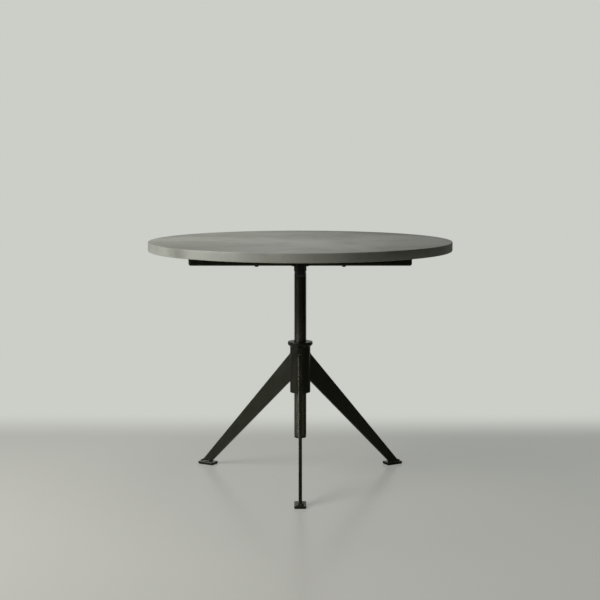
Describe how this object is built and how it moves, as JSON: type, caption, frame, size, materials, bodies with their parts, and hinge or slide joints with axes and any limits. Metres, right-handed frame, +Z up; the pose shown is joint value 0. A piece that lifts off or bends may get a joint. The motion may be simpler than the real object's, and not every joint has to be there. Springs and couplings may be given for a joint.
{
  "type": "telescoping pedestal table",
  "caption": "Round stone-topped pedestal table. The top turns with a trapezoidal screw in a flanged nut, so it rises and falls on a tube hub with splayed plate legs.",
  "frame": {"origin": "on the floor under the middle of the top, on the screw's axis", "axes": "+Z up along the screw's axis, one leg towards -Y, the others towards +X and -X and slightly +Y, one arm of the cross along each of +X, -X, +Y and -Y"},
  "size_m": [1.0667, 1.0668, 0.85],
  "materials": {
    "honed_stone": "honed, faintly mottled",
    "black_steel": "satin black",
    "oiled_screw_steel": "blackened and oiled, worn bare below",
    "weld_metal": "satin black over rippled beads",
    "black_fasteners": "black oxide",
    "bright_steel": "turned, zinc plated",
    "brass_inserts": "turned",
    "cap_plastic": "moulded",
    "black_rubber": "matt",
    "bush_nylon": "machined, oil-filled"
  },
  "bodies": {
    "base": {"hub_tube": "black_steel", "guide_bush": "bush_nylon", "lift_nut": "black_steel", "nut_grub_screws": "black_fasteners", "leg_front": "black_steel", "leg_right": "black_steel", "leg_left": "black_steel", "foot_plate_front": "black_steel", "foot_plate_right": "black_steel", "foot_plate_left": "black_steel", "floor_glides": "black_rubber", "hub_weld_beads": "weld_metal", "foot_weld_beads": "weld_metal"},
    "stop": {"stop_washer": "black_fasteners"},
    "top": {"tabletop": "honed_stone", "threaded_inserts": "brass_inserts", "bolt_pads": "black_rubber", "end_pads": "black_rubber", "arm_right": "black_steel", "arm_left": "black_steel", "arm_front": "black_steel", "arm_back": "black_steel", "arm_cap_right": "cap_plastic", "arm_cap_left": "cap_plastic", "arm_cap_front": "cap_plastic", "arm_cap_back": "cap_plastic", "arm_weld_beads": "weld_metal", "centre_block": "black_steel", "top_bolts": "black_fasteners", "drive_key": "bright_steel", "retaining_washer": "bright_steel", "retaining_screw": "black_fasteners", "lift_screw": "oiled_screw_steel", "stop_screw": "black_fasteners"}
  },
  "joints": [
    {"name": "lift", "type": "slide", "parent": "base", "child": "stop", "axis": [0, 0, 1], "range_m": [-0.14001, 0.21701]},
    {"name": "turn", "type": "hinge", "parent": "stop", "child": "top", "pos_m": [0, 0, 0], "axis": [0, 0, 1], "range_deg": [-7200, 11160]}
  ],
  "couplings": [
    {"joint": "lift", "follows": "turn", "m_per_rad": 0.0011141}
  ]
}
